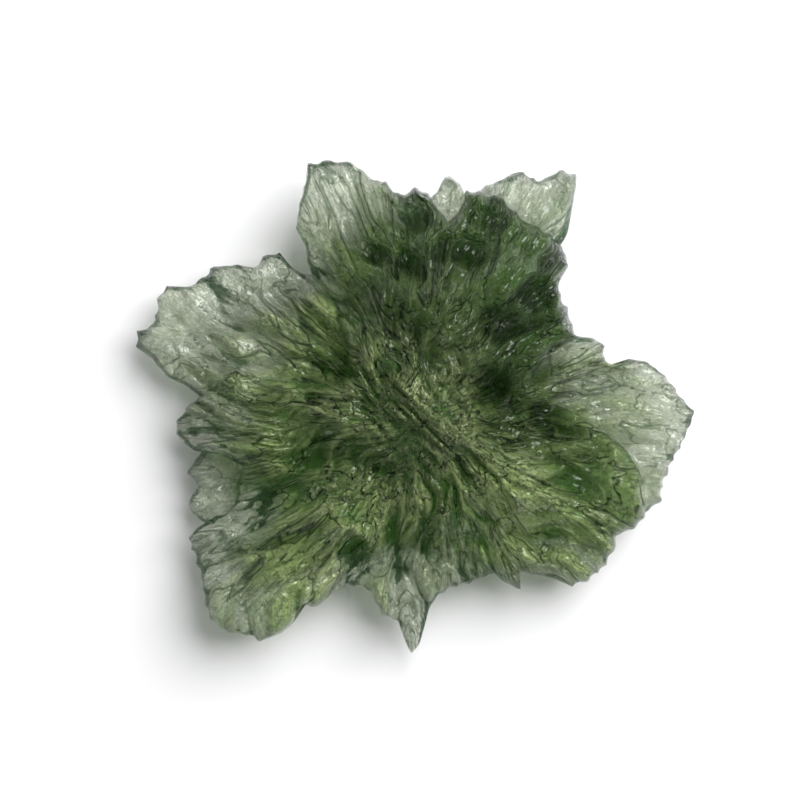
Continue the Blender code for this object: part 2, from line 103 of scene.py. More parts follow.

# %% [markdown]
# The heights are given at a few dozen places: how high the top is there, and how high the underside.
# A row holds x, y, the top and the underside. Between the places the heights are blended, each weighted by
# a bell curve of its distance. The dark lobes are thick, the flaps are thin, and everything bends down a
# little towards the rim.

# %% Heights of the star and of the flaps
HEIGHT_SPREAD = 2.1
UPPER_HEIGHTS = np.array([
    (0.0, 0.0, 9.2, 0.4), (-1.0, 3.5, 9.0, 0.5), (3.0, 4.2, 8.9, 0.4), (4.0, 1.6, 6.2, 0.5),
    (7.4, 0.4, 5.6, 0.8), (7.0, 5.2, 7.6, 0.9), (8.0, 8.8, 7.4, 1.8), (4.6, 8.4, 8.8, 1.2),
    (1.0, 9.6, 8.4, 1.4), (-1.4, 7.0, 8.6, 0.8), (-3.6, 9.4, 6.6, 2.0), (-5.6, 10.0, 5.4, 2.6),
    (2.4, 12.4, 7.6, 2.2), (6.0, 12.0, 7.2, 2.2), (-2.0, 12.8, 6.2, 3.0), (-5.6, 12.6, 5.4, 3.4),
    (-6.0, 15.6, 5.1, 3.5), (-4.6, 1.4, 8.4, 0.6), (-8.0, 0.6, 6.8, 1.0), (-11.6, 1.8, 5.2, 2.2),
    (-15.0, 0.0, 3.8, 2.4), (-7.4, -3.6, 7.2, 0.8), (-10.6, -4.2, 5.2, 1.8), (-8.6, -7.4, 5.2, 1.3),
    (-13.4, -7.6, 3.6, 2.2), (-11.4, -9.8, 4.6, 2.0), (-12.4, -12.4, 5.0, 1.4), (-8.8, -11.4, 5.2, 1.3),
    (-4.0, -5.6, 7.0, 0.9), (-3.6, -9.6, 4.4, 1.7), (0.4, -4.6, 8.0, 0.7), (0.6, -9.6, 4.6, 1.4),
    (-0.8, -13.4, 3.2, 2.2), (4.4, -4.4, 7.8, 0.6), (5.4, -8.8, 5.2, 1.0), (9.4, -8.6, 4.8, 1.5),
    (8.4, -4.6, 6.8, 0.6), (12.6, -5.6, 6.0, 1.3), (12.2, -2.6, 6.2, 1.2), (9.8, -0.6, 6.0, 0.9),
])
LOWER_HEIGHTS = np.array([
    (0.0, 0.0, 4.0, 0.6), (10.0, 1.8, 4.2, 1.0), (13.0, 1.6, 3.4, 1.3), (16.4, 0.6, 3.0, 1.9),
    (13.6, -3.6, 3.4, 1.5), (10.2, 4.6, 3.6, 1.5), (13.8, 3.6, 3.0, 1.8), (8.2, 12.0, 4.4, 2.3),
    (8.8, 15.2, 4.7, 3.0), (5.0, 14.6, 4.6, 2.9), (1.4, 14.8, 4.3, 3.2), (0.0, 9.0, 4.6, 2.0),
    (-6.6, 5.6, 5.4, 0.9), (-10.4, 5.4, 4.6, 1.2), (-9.6, 9.6, 3.8, 2.3), (-13.6, 8.6, 3.3, 2.0),
    (-13.4, 5.2, 3.7, 1.4), (-17.0, 6.6, 3.2, 1.9), (-15.4, 3.4, 3.2, 1.6), (-13.6, -2.8, 3.0, 1.6),
    (-13.8, -5.0, 3.0, 1.6), (-8.0, -6.0, 3.6, 1.0), (3.8, -9.2, 2.8, 1.4), (8.0, -6.0, 3.4, 0.9),
])


def blended_heights(x, y, table):
    """Top and underside heights: sum of w * height / sum of w, with w = exp(-(distance / spread)^2)."""
    total = np.full(x.shape, TINY_WEIGHT)
    top = np.full(x.shape, TINY_WEIGHT) * table[:, 2].mean()
    under = np.full(x.shape, TINY_WEIGHT) * table[:, 3].mean()
    for px, py, row_top, row_under in table:
        weight = np.exp(-((x - px) ** 2 + (y - py) ** 2) / HEIGHT_SPREAD ** 2)
        total += weight
        top += weight * row_top
        under += weight * row_under
    return top / total, under / total


print("heights set at", len(UPPER_HEIGHTS) + len(LOWER_HEIGHTS), "places")

# %% [markdown]
# Sharp lines cross the top. Where two etched hollows meet, a crest is left, and where the soil's acid found
# a crack, a groove. A row holds a height, a width and a few points. The line falls off as
# exp(-distance / width), so it has a sharp edge and soft flanks. A negative height makes a groove.

# %% Crests and grooves
UPPER_LINES = [
    (1.3, 1.1, [(-2.2, 11.5), (-1.8, 9.9), (-0.9, 8.4), (0.1, 7.8), (1.2, 7.6), (3.5, 8.9), (5.5, 9.9)]),
    (0.9, 0.8, [(-3.6, 12.1), (-2.9, 11.5), (-2.1, 11.2)]),
    (0.9, 0.8, [(0.2, 11.5), (0.3, 9.6), (0.1, 7.9)]),
    (0.7, 0.7, [(-6.2, 12.8), (-5.9, 11.8), (-4.9, 10.6), (-4.5, 9.6)]),
    (0.5, 0.5, [(-6.9, 10.1), (-5.6, 9.3)]),
    (0.6, 0.5, [(-1.8, 8.7), (-0.9, 7.4)]),
    (0.8, 0.8, [(-0.6, 7.4), (0.6, 6.5), (1.2, 5.2)]),
    (0.5, 0.5, [(1.2, 7.6), (1.3, 6.5), (1.2, 5.2)]),
    (0.5, 0.5, [(4.8, 7.8), (5.5, 8.7), (6.3, 9.4), (6.9, 9.5)]),
    (0.7, 0.8, [(1.6, 3.1), (3.4, 3.6), (5.2, 4.1), (7.1, 4.5), (8.5, 5.6)]),
    (1.1, 0.9, [(-1.7, 2.6), (-0.9, 1.6), (0.8, 0.2), (1.9, -1.0)]),
    (1.2, 0.9, [(3.0, -0.8), (3.8, -2.5), (4.1, -3.5), (5.8, -4.6)]),
    (0.7, 0.7, [(-14.6, 1.4), (-12.9, 2.7), (-12.0, 3.4), (-10.4, 3.3)]),
    (0.9, 0.8, [(-8.8, 2.5), (-7.8, 1.6), (-6.5, 0.8), (-5.2, 0.3)]),
    (0.5, 0.5, [(-12.0, 3.4), (-11.8, 2.1)]),
    (0.5, 0.5, [(-10.9, -1.0), (-9.1, -0.3)]),
    (0.8, 0.8, [(-12.8, -1.7), (-11.8, -1.4), (-10.7, -1.6), (-10.0, -2.2), (-9.6, -2.8)]),
    (-1.3, 1.0, [(-12.0, -6.0), (-10.2, -5.0), (-8.6, -3.5), (-7.5, -2.6), (-6.5, -2.2)]),
    (0.8, 0.8, [(-5.6, -5.1), (-9.6, -7.9), (-13.4, -9.9)]),
    (0.5, 0.5, [(-6.2, -5.7), (-10.9, -10.4)]),
    (0.8, 0.8, [(-5.2, -6.0), (-9.9, -11.0)]),
    (0.5, 0.5, [(-5.9, -6.9), (-5.6, -9.8)]),
    (0.9, 0.7, [(-6.2, -6.4), (-4.6, -6.3), (-3.4, -7.1)]),
    (0.5, 0.5, [(-13.1, -3.4), (-11.5, -2.4)]),
    (-1.1, 0.7, [(-1.9, -5.8), (-1.9, -6.8), (-1.6, -8.2), (-1.8, -8.8), (-1.5, -9.7)]),
    (-1.1, 0.7, [(-0.2, -5.5), (0.0, -6.7), (-0.1, -8.0)]),
    (-0.9, 0.7, [(2.7, -6.7), (2.6, -8.2)]),
    (1.1, 0.8, [(6.0, -3.6), (7.2, -4.4), (8.2, -5.2), (9.1, -5.9), (9.8, -6.2), (11.0, -7.1),
                (11.5, -7.8)]),
    (0.6, 0.7, [(11.8, -1.6), (11.8, -5.1)]),
    (0.5, 0.6, [(13.2, -2.4), (13.3, -5.1)]),
    (1.2, 0.9, [(3.2, 4.0), (2.6, 1.6), (2.9, 0.2)]),
    (1.0, 0.8, [(6.6, 1.6), (6.2, 0.5), (6.5, -1.0)]),
]
LOWER_LINES = [
    (-1.0, 0.8, [(-14.6, 8.8), (-14.0, 7.8), (-13.7, 7.1), (-12.9, 6.4), (-11.4, 5.8)]),
    (0.8, 0.8, [(-12.6, 9.7), (-11.8, 8.9), (-11.2, 8.1), (-10.7, 7.9)]),
    (0.6, 0.7, [(-16.6, 8.4), (-14.6, 6.9), (-15.2, 5.9)]),
    (0.4, 0.5, [(-16.5, 7.6), (-14.6, 6.9)]),
    (0.5, 0.5, [(-6.4, 7.9), (-5.6, 6.5), (-5.2, 5.6), (-4.9, 4.0)]),
    (0.7, 0.8, [(7.2, 1.5), (8.5, 1.4), (10.4, 0.5), (12.6, -0.4), (14.8, -1.1), (15.2, -1.4)]),
    (0.5, 0.6, [(12.4, 0.9), (12.9, 0.3), (13.8, 0.2), (14.8, 0.4)]),
    (0.5, 0.6, [(13.5, 2.6), (13.8, 1.5), (14.8, 1.2), (16.3, 1.2)]),
    (0.6, 0.8, [(11.3, 5.2), (7.6, 3.1)]),
    (0.5, 0.6, [(3.5, 14.0), (4.8, 13.1), (7.2, 12.4)]),
]


def line_distance(x, y, points):
    """Distance in the plan to the nearest stretch of an open line of points."""
    nearest = np.full(x.shape, np.inf)
    for (ax, ay), (bx, by) in zip(points, points[1:]):
        dx = bx - ax
        dy = by - ay
        along = np.clip(((x - ax) * dx + (y - ay) * dy) / (dx * dx + dy * dy), 0.0, 1.0)
        nearest = np.minimum(nearest, np.hypot(x - ax - along * dx, y - ay - along * dy))
    return nearest


def line_relief(x, y, lines, narrow=1.0):
    """Sum over the lines of height * exp(-distance / (narrow * width))."""
    relief = np.zeros(x.shape)
    for height, width, points in lines:
        relief += height * np.exp(-line_distance(x, y, points) / (narrow * width))
    return relief


print("lines on the top:", len(UPPER_LINES) + len(LOWER_LINES))

# %% [markdown]
# Round cells are the thumb-like hollows of the top lobe and of the clear windows in the flaps.
# Each is a bowl with a sharp lip, and its row holds x, y, the radius and the depth.

# %% Round cells
UPPER_BOWLS = [
    (-0.7, 9.8, 1.7, 1.4), (-2.8, 10.7, 1.1, 0.9), (-0.7, 12.8, 1.3, 1.0), (1.2, 10.9, 1.1, 0.9),
    (2.9, 10.6, 1.3, 1.1), (4.1, 13.0, 1.5, 1.1), (6.9, 8.0, 1.4, 1.0), (-14.0, -5.1, 0.9, 0.4),
    (-4.5, -7.9, 1.2, 1.2), (3.9, 2.4, 1.6, 1.3), (7.7, 0.6, 1.6, 1.1), (4.6, 6.2, 1.5, 0.8),
    (9.6, -3.2, 1.8, 0.8), (-7.4, 1.9, 1.1, 0.6), (-10.0, -7.2, 1.3, 0.7), (7.6, -7.4, 1.4, 0.8),
]
LOWER_BOWLS = [
    (-12.8, 7.9, 0.9, 0.5), (-14.9, 4.6, 1.2, 0.6), (-10.2, 4.8, 1.6, 0.7), (-9.3, 8.2, 1.3, 0.6),
    (-7.1, 3.3, 1.2, 0.7), (11.4, 2.8, 1.3, 0.7), (15.2, 2.0, 1.0, 0.5), (14.6, -1.0, 1.0, 0.4),
]


def bowl_relief(x, y, bowls):
    """Sum over the bowls of -depth * (1 - (distance / radius)^2), inside each radius."""
    relief = np.zeros(x.shape)
    for px, py, radius, depth in bowls:
        inside = 1.0 - ((x - px) ** 2 + (y - py) ** 2) / radius ** 2
        relief -= depth * np.maximum(inside, 0.0)
    return relief


print("bowls:", len(UPPER_BOWLS) + len(LOWER_BOWLS))

# %% [markdown]
# Between the hand-set forms the whole skin is fluted. Long hollows run out from the hub, wide ones with
# narrow ones inside them, and each pair of neighbours meets in a sharp crest. The plane is cut into cells
# by the angle and the logarithm of the radius, so the cells point to the hub and shrink towards it.
# The value in a cell is the squared distance to its own middle, which is a bowl.

# %% Flutes at several scales
# A scale: how many flutes go round the hub, their length for their width, and their height for their width.
CELL_SCALE = (22, 1.9, 0.30)
RIDGE_SCALES = [(20, 4.5, 0.38), (48, 4.0, 0.42)]
CELL_WEIGHT = 0.6
CELL_HEIGHT = 2.0
CELL_MEAN = 0.6
CELL_WIDEST_RADIUS = 12.0
CELL_MARGIN = 0.2
CELL_PLAY = 0.6
RIDGE_SHARPNESS = 2.2
RIDGE_MEAN = 0.35
RIDGE_LEAST_RADIUS = 2.0
RIDGE_WIDEST_RADIUS = 14.0
RIDGE_SEED_STEP = 20
DOUBLING_RADIUS = 5.5
DOUBLING_REACH = 1.5
DOUBLED_WEIGHT = 0.6
HUB_RADIUS = 3.2
HUB_TURN = math.radians(-42.0)
HUB_INNER_FADE = 1.4
HUB_OUTER_FADE = 1.2
HUB_RIDGE_LENGTH = 1.4
HUB_RIDGE_WIDTH = 16.0
HUB_RIDGE_BEND = 0.4
HUB_RIDGE_WAVE = 0.9
HUB_WEIGHT = 1.2
HUB_PLACE = (200.0, 50.0)
NEVER_WRAPPED = 10000
LEVEL_SOFTENING = 0.4
SCATTER_STEPS = (127.1, 311.7, 74.7)
SCATTER_SIZE = 43758.5453
# Waves that bend the flutes: height, pace along the level, pace round the hub, and start.
ANGLE_WAVES = [(0.10, 4.3, 2.0, 1.0), (0.04, 9.0, 7.0, 0.0)]
LEVEL_WAVES = [(0.12, 2.0, 5.0, 2.0), (0.05, -5.0, 13.0, 0.0)]
WORN_SIDE = (0.35, 0.60)
# Places where the skin is smoother: middle, radius, and the share of the fluting that is missing.
SMOOTH_PATCHES = [
    (-0.4, 11.0, 3.2, 0.65), (4.2, 11.2, 3.0, 0.60), (7.4, 8.6, 2.4, 0.50), (8.2, 14.2, 2.4, 0.35),
    (14.2, 1.0, 3.0, 0.45), (-15.6, 6.2, 2.4, 0.45), (6.4, -5.2, 1.4, 0.70), (5.6, 1.6, 2.4, 0.35),
    (-9.0, 5.0, 2.6, 0.30), (-13.4, -4.2, 1.6, 0.50),
]


def scatter(i, j, seed):
    """A fixed number from 0 to 1 for each cell (i, j): the fraction of a large sine."""
    value = np.sin(i * SCATTER_STEPS[0] + j * SCATTER_STEPS[1] + seed * SCATTER_STEPS[2]) * SCATTER_SIZE
    return value - np.floor(value)


def waves(angle, level, table):
    """Sum over the waves of height * sin(level_pace * level + angle_pace * angle + start)."""
    total = 0.0
    for height, level_pace, angle_pace, start in table:
        total = total + height * np.sin(level_pace * level + angle_pace * angle + start)
    return total


def bent_polar(x, y):
    """Angle and logarithm of the radius, both bent by a few slow waves so that the flutes meander."""
    angle = np.arctan2(y, x)
    level = np.log(np.hypot(x, y) + LEVEL_SOFTENING)
    return angle + waves(angle, level, ANGLE_WAVES), level + waves(angle, level, LEVEL_WAVES)


def flutes(x, y, around, length_ratio, seed):
    """Squared distance to the nearest cell middle, in cells of the bent log-polar plane."""
    turn = around / (2.0 * math.pi)
    angle, level = bent_polar(x, y)
    u = angle * turn
    v = level * turn / length_ratio
    iu = np.floor(u)
    iv = np.floor(v)
    nearest = np.full(x.shape, FAR_AWAY)
    for step_u in (-1, 0, 1):
        for step_v in (-1, 0, 1):
            cu = iu + step_u
            cv = iv + step_v
            wrapped = np.mod(cu, around)
            du = cu + CELL_MARGIN + CELL_PLAY * scatter(wrapped, cv, seed) - u
            dv = cv + CELL_MARGIN + CELL_PLAY * scatter(wrapped, cv, seed + 1) - v
            nearest = np.minimum(nearest, du * du + dv * dv)
    return np.minimum(nearest, 1.0)


def soft_blend(share):
    """From 0 to 1 with level ends: 6 * share^5 - 15 * share^4 + 10 * share^3."""
    return share * share * share * (share * (share * 6.0 - 15.0) + 10.0)


def slope_noise(u, v, around, seed):
    """Smooth noise from about -0.7 to 0.7: blended slopes of the four corners of each unit square."""
    iu = np.floor(u)
    iv = np.floor(v)
    fu = u - iu
    fv = v - iv
    blend_u = soft_blend(fu)
    blend_v = soft_blend(fv)
    rows = []
    for step_v in (0, 1):
        corners = []
        for step_u in (0, 1):
            turn = 2.0 * math.pi * scatter(np.mod(iu + step_u, around), iv + step_v, seed)
            corners.append(np.cos(turn) * (fu - step_u) + np.sin(turn) * (fv - step_v))
        rows.append(corners[0] + blend_u * (corners[1] - corners[0]))
    return rows[0] + blend_v * (rows[1] - rows[0])


def ridges(x, y, around, length_ratio, seed):
    """Long crests along the zero lines of the noise: (1 - sharpness * |noise|) squared, never under 0."""
    turn = around / (2.0 * math.pi)
    angle, level = bent_polar(x, y)
    noise = slope_noise(angle * turn, level * turn / length_ratio, around, seed)
    return np.maximum(1.0 - RIDGE_SHARPNESS * np.abs(noise), 0.0) ** 2


def smooth_step(value, low, high):
    """0 below low, 1 above high, and a smooth rise between them."""
    share = np.clip((value - low) / (high - low), 0.0, 1.0)
    return share * share * (3.0 - 2.0 * share)


def doubling_ridges(x, y, around, length_ratio, seed):
    """Crests from about -0.4 to 0.8. Over the hub they run in parallel, and further out as spokes.

    The number of spokes doubles past the doubling radius, as each flute of the stone forks in two.
    """
    radius = np.hypot(x, y)
    inner = ridges(x, y, around, length_ratio, seed) - RIDGE_MEAN
    outer = ridges(x, y, 2 * around, length_ratio, seed + 1) - RIDGE_MEAN
    share = smooth_step(radius, DOUBLING_RADIUS - DOUBLING_REACH, DOUBLING_RADIUS + DOUBLING_REACH)
    along = (x * math.cos(HUB_TURN) + y * math.sin(HUB_TURN)) / (HUB_RIDGE_LENGTH * length_ratio)
    across = (y * math.cos(HUB_TURN) - x * math.sin(HUB_TURN)) * around / HUB_RIDGE_WIDTH
    across = across + HUB_RIDGE_BEND * np.sin(HUB_RIDGE_WAVE * along)
    noise = slope_noise(across + HUB_PLACE[0], along + HUB_PLACE[1], NEVER_WRAPPED, seed + 2)
    middle = np.maximum(1.0 - RIDGE_SHARPNESS * np.abs(noise), 0.0) ** 2 - RIDGE_MEAN
    hub_share = 1.0 - smooth_step(radius, HUB_RADIUS - HUB_INNER_FADE, HUB_RADIUS + HUB_OUTER_FADE)
    spokes = inner + share * (DOUBLED_WEIGHT * outer - inner)
    return spokes + hub_share * (HUB_WEIGHT * middle - spokes)


# Wear of the skin: place, spread and wear from 0 to 1.
WORN_PLACES = [
    (-0.6, 11.0, 3.6, 0.05), (5.0, 10.5, 3.4, 0.05), (7.2, 6.0, 2.8, 0.0), (1.5, 7.0, 2.6, 0.2),
    (-5.6, 13.5, 2.4, 0.5), (0.0, 1.0, 3.0, 0.85), (5.4, 1.4, 2.4, 0.05), (8.8, 0.2, 2.0, 0.15),
    (-9.0, 5.6, 3.4, 1.0), (-14.5, 6.5, 3.0, 0.6), (-9.0, -1.0, 4.0, 0.65), (-9.5, -8.0, 4.0, 1.0),
    (-3.6, -6.0, 3.0, 0.95), (-12.4, -12.0, 2.4, 0.5), (0.6, -8.0, 2.6, 1.0), (4.4, -4.6, 2.6, 0.9),
    (8.0, -8.0, 3.0, 0.9), (10.8, -3.6, 3.0, 0.4), (12.6, 1.8, 3.4, 0.8),
]


def worn_share(x, y):
    """Wear blended from the places by bell curves of the distance."""
    total = np.full(x.shape, TINY_WEIGHT)
    worn = np.full(x.shape, 0.5 * TINY_WEIGHT)
    for px, py, spread, value in WORN_PLACES:
        weight = np.exp(-((x - px) ** 2 + (y - py) ** 2) / spread ** 2)
        total += weight
        worn += weight * value
    return worn / total


def fluting(x, y, seed):
    """Wide hollow cells, and over them narrow crests on glossy skin or narrow grooves on worn skin.

    Returns the heights, and the pattern itself, in which both scales of crests count the same.
    """
    around, length_ratio, ratio = CELL_SCALE
    radius = np.hypot(x, y)
    cells = CELL_HEIGHT * flutes(x, y, around, length_ratio, seed) - CELL_MEAN
    relief = ratio * 2.0 * math.pi * np.minimum(radius, CELL_WIDEST_RADIUS) / around * cells
    pattern = CELL_WEIGHT * cells
    side = 1.0 - 2.0 * smooth_step(worn_share(x, y), *WORN_SIDE)
    for step, (around, length_ratio, ratio) in enumerate(RIDGE_SCALES):
        crests = side * doubling_ridges(x, y, around, length_ratio, seed + RIDGE_SEED_STEP * (step + 1))
        reach = np.clip(radius, RIDGE_LEAST_RADIUS, RIDGE_WIDEST_RADIUS)
        relief += ratio * 2.0 * math.pi * reach / around * crests
        pattern += crests
    for px, py, patch, missing in SMOOTH_PATCHES:
        kept = 1.0 - missing * np.exp(-((x - px) ** 2 + (y - py) ** 2) / patch ** 2)
        relief *= kept
        pattern *= kept
    return relief, pattern


print("flute scales:", 1 + len(RIDGE_SCALES))

# %% [markdown]
# One layer is a closed sheet around the plan. Its two parameters are u, the way round the outline by
# length, and s, the share of the way out from the hub along a straight ray. The top is one grid over them
# and the underside another, and they meet at the rim in a rounded edge.

# %% A closed layer from two grids
REST_SPOT_LENGTH = 9.0
REST_SPOT_WIDTH = 8.0
REST_SPOT_SINK = 0.35
TOOTH_WIDTH = 0.9
TOOTH_DEPTH = 0.22
TOOTH_MEAN = 0.6
BITE_STEEPNESS = 4.0
ROW_CROWDING = 1.5
LEAST_THICKNESS = 1.0
RIM_ZONE = 0.5
BLOCK_OF_POINTS = 4000
LEAST_LENGTH = 1e-12


def toothed_rim(rim, columns, seed):
    """Points evenly along the outline, bitten inwards between small teeth.

    A tooth's share is the squared distance to the middle of the nearest bite. The bites move the points
    along their rays only, and less where the outline runs along a ray.
    """
    closed = np.vstack([rim, rim[:1]])
    length = np.concatenate([[0.0], np.cumsum(np.hypot(*np.diff(closed, axis=0).T))])
    at = np.linspace(0.0, length[-1], columns, endpoint=False)
    x = np.interp(at, length, closed[:, 0])
    y = np.interp(at, length, closed[:, 1])
    count = int(round(length[-1] / TOOTH_WIDTH))
    bite = at / length[-1] * count
    index = np.floor(bite)
    nearest = np.full(at.shape, FAR_AWAY)
    for step in (-1, 0, 1):
        cell = index + step
        place = cell + CELL_MARGIN + CELL_PLAY * scatter(np.mod(cell, count), 1.0, seed)
        nearest = np.minimum(nearest, np.abs(place - bite))
    radius = np.hypot(x, y)
    along_x = np.roll(x, -1) - np.roll(x, 1)
    along_y = np.roll(y, -1) - np.roll(y, 1)
    across = np.abs(x * along_y - y * along_x) / (radius * np.hypot(along_x, along_y))
    bite_share = np.minimum(BITE_STEEPNESS * nearest ** 2, 1.0)
    bitten = 1.0 + TOOTH_DEPTH * across ** 2 * (bite_share - TOOTH_MEAN) / radius
    return x * bitten, y * bitten


def make_layer(name, rim, grid, edge_round, surfaces, seed):
    """A closed mesh: a top grid and an underside grid over (u, s), joined at the rim."""
    columns, top_rows, under_rows = grid
    edge_x, edge_y = toothed_rim(rim, columns, seed)
    q_top = np.arange(1, top_rows + 1) / top_rows
    q_under = np.arange(under_rows - 1, 0, -1) / under_rows
    q = np.concatenate([q_top, q_under])[:, None]
    share = q * (ROW_CROWDING - (ROW_CROWDING - 1.0) * q)
    x = np.concatenate([[0.0], (share * edge_x).ravel(), [0.0]])
    y = np.concatenate([[0.0], (share * edge_y).ravel(), [0.0]])
    on_top = np.arange(len(x)) <= top_rows * columns
    top, under = surfaces(x, y)
    thin = np.maximum(0.5 * LEAST_THICKNESS - 0.5 * (top - under), 0.0)
    top += thin
    under -= thin
    closed = list(zip(edge_x, edge_y)) + [(edge_x[0], edge_y[0])]
    near = np.full(x.shape, 1.0)
    rim_zone = np.concatenate([[False], np.repeat((q > RIM_ZONE).ravel(), columns), [False]])
    near[rim_zone] = 1.0 - np.clip(rim_distance(x[rim_zone], y[rim_zone], closed) / edge_round, 0.0, 1.0)
    near[~rim_zone] = 0.0
    round_off = np.sqrt(np.maximum(1.0 - near ** 2, 0.0))
    middle = 0.5 * (top + under)
    z = middle + np.where(on_top, top - middle, under - middle) * round_off
    rows = top_rows + under_rows - 1
    ring = np.arange(columns)
    here = 1 + np.arange(rows - 1)[:, None] * columns + ring
    beside = 1 + np.arange(rows - 1)[:, None] * columns + np.roll(ring, -1)
    quads = np.stack([here, here + columns, beside + columns, beside], axis=-1).reshape(-1, 4)
    top_fan = np.stack([np.zeros(columns, int), 1 + ring, 1 + np.roll(ring, -1)], axis=-1)
    last = 1 + (rows - 1) * columns
    low_fan = np.stack([np.full(columns, len(x) - 1), last + np.roll(ring, -1), last + ring], axis=-1)
    mesh = bpy.data.meshes.new(name)
    points = np.stack([x, y, z], axis=-1) * MM
    mesh.from_pydata(points.tolist(), [], quads.tolist() + top_fan.tolist() + low_fan.tolist())
    layer = bpy.data.objects.new(name, mesh)
    scene.collection.objects.link(layer)
    print(name, "has", len(mesh.polygons), "faces")
    return layer


def rim_distance(x, y, closed):
    """Distance in the plan to a closed outline of many short stretches, taken in blocks of points."""
    ends = np.array(closed)
    begin = ends[:-1]
    stretch = ends[1:] - begin
    size = np.maximum((stretch ** 2).sum(axis=1), LEAST_LENGTH)
    result = np.empty(x.shape)
    for start in range(0, len(x), BLOCK_OF_POINTS):
        block = slice(start, start + BLOCK_OF_POINTS)
        px = x[block, None] - begin[:, 0]
        py = y[block, None] - begin[:, 1]
        along = np.clip((px * stretch[:, 0] + py * stretch[:, 1]) / size, 0.0, 1.0)
        square = (px - along * stretch[:, 0]) ** 2 + (py - along * stretch[:, 1]) ** 2
        result[block] = np.sqrt(square.min(axis=1))
    return result


print("layers are closed sheets over the way round and the share of the way out")

# %% [markdown]
# The two layers get their surfaces: blended heights, plus lines, bowls and flutes. The underside dips just
# below the floor inside the rest spot, so that a level cut there leaves the small flat the stone lies on.

# %% Surfaces of the two layers
LEAST_UNDERSIDE = 0.3
UPPER_EDGE_ROUND = 0.9
LOWER_EDGE_ROUND = 0.5


def layer_surfaces(x, y, heights, lines, bowls, seed):
    """Top = heights + lines + bowls + flutes. Underside = heights - flutes, sunk at the rest spot."""
    top, under = blended_heights(x, y, heights)
    top += line_relief(x, y, lines) + bowl_relief(x, y, bowls)
    top += fluting(x, y, seed)[0]
    spot = 2.0 * np.hypot(x / REST_SPOT_LENGTH, y / REST_SPOT_WIDTH)
    under -= fluting(x, y, seed + UNDERSIDE_SEED_STEP)[0]
    under = np.maximum(under, LEAST_UNDERSIDE) * np.clip(spot - 1.0, 0.0, 1.0)
    under -= REST_SPOT_SINK * np.maximum(1.0 - spot ** 2, 0.0)
    return top, under


def upper_surfaces(x, y):
    """Surfaces of the thick star."""
    return layer_surfaces(x, y, UPPER_HEIGHTS, UPPER_LINES, UPPER_BOWLS, UPPER_SEED)


def lower_surfaces(x, y):
    """Surfaces of the thin flaps."""
    return layer_surfaces(x, y, LOWER_HEIGHTS, LOWER_LINES, LOWER_BOWLS, LOWER_SEED)


UPPER_GRID = (660, 80, 28)
LOWER_GRID = (420, 36, 16)
stone = make_layer("stone", UPPER_RIM, UPPER_GRID, UPPER_EDGE_ROUND, upper_surfaces, UPPER_SEED)
flaps = make_layer("flaps", LOWER_RIM, LOWER_GRID, LOWER_EDGE_ROUND, lower_surfaces, LOWER_SEED)

# %% [markdown]
# A Boolean union makes the two layers one closed body, as the real stone is, and a second Boolean cuts the
# rest spot level. Both are applied, so the finished stone is a plain mesh. Where the flaps and the star
# don't quite meet, the union can close in a small gap. The real glass is solid there, so only the outer
# shell stays.

# %% Join and cut
BLOCK_WIDTH = 60.0
BLOCK_DEPTH = 10.0
BLOCK_CUTS = 59
SHARP_ANGLE = math.radians(60.0)
LEVEL_HEIGHT = 0.00001
LEVEL_NORMAL = -0.999


def floor_block():
    """A box whose top is the plane of the rest spot, in small squares that leave small level faces."""
    bm = bmesh.new()
    bmesh.ops.create_cube(bm, size=1.0)
    bmesh.ops.subdivide_edges(bm, edges=bm.edges, cuts=BLOCK_CUTS, use_grid_fill=True)
    size = (BLOCK_WIDTH * MM, BLOCK_WIDTH * MM, BLOCK_DEPTH * MM)
    bmesh.ops.scale(bm, vec=size, verts=bm.verts)
    bmesh.ops.translate(bm, vec=(0.0, 0.0, -0.5 * BLOCK_DEPTH * MM), verts=bm.verts)
    mesh = bpy.data.meshes.new("rest_plane")
    bm.to_mesh(mesh)
    bm.free()
    block = bpy.data.objects.new("rest_plane", mesh)
    scene.collection.objects.link(block)
    return block


def apply_booleans(body, steps):
    """Combine the body with each operand, keep the result as its mesh, and remove the operands."""
    for operand, operation in steps:
        boolean = body.modifiers.new(operand.name, "BOOLEAN")
        boolean.operation = operation
        boolean.solver = "MANIFOLD"
        boolean.object = operand
    depsgraph = bpy.context.evaluated_depsgraph_get()
    depsgraph.update()
    mesh = bpy.data.meshes.new_from_object(body.evaluated_get(depsgraph))
    body.modifiers.clear()
    body.data = mesh
    for operand, _ in steps:
        bpy.data.objects.remove(operand, do_unlink=True)


def shell_numbers(mesh):
    """One number for each point, the same for all points that edges join.

    Each round, number = the lowest number at the two ends of an edge, until nothing changes.
    """
    ends = np.empty(len(mesh.edges) * 2, np.int32)
    mesh.edges.foreach_get("vertices", ends)
    ends = ends.reshape(-1, 2)
    number = np.arange(len(mesh.vertices))
    while True:
        lowest = number.copy()
        pair = number[ends].min(axis=1)
        np.minimum.at(lowest, number[ends[:, 0]], pair)
        np.minimum.at(lowest, number[ends[:, 1]], pair)
        lowest = lowest[lowest]
        if np.array_equal(lowest, number):
            return number
        number = lowest


def keep_outer_shell(mesh):
    """Remove every shell but the one with the most points."""
    number = shell_numbers(mesh)
    inner = np.flatnonzero(number != np.bincount(number).argmax())
    bm = bmesh.new()
    bm.from_mesh(mesh)
    bm.verts.ensure_lookup_table()
    bmesh.ops.delete(bm, geom=[bm.verts[index] for index in inner], context="VERTS")
    open_edges = sum(not edge.is_manifold for edge in bm.edges)
    bm.to_mesh(mesh)
    bm.free()
    print("inner points removed:", len(inner), "open edges left:", open_edges)


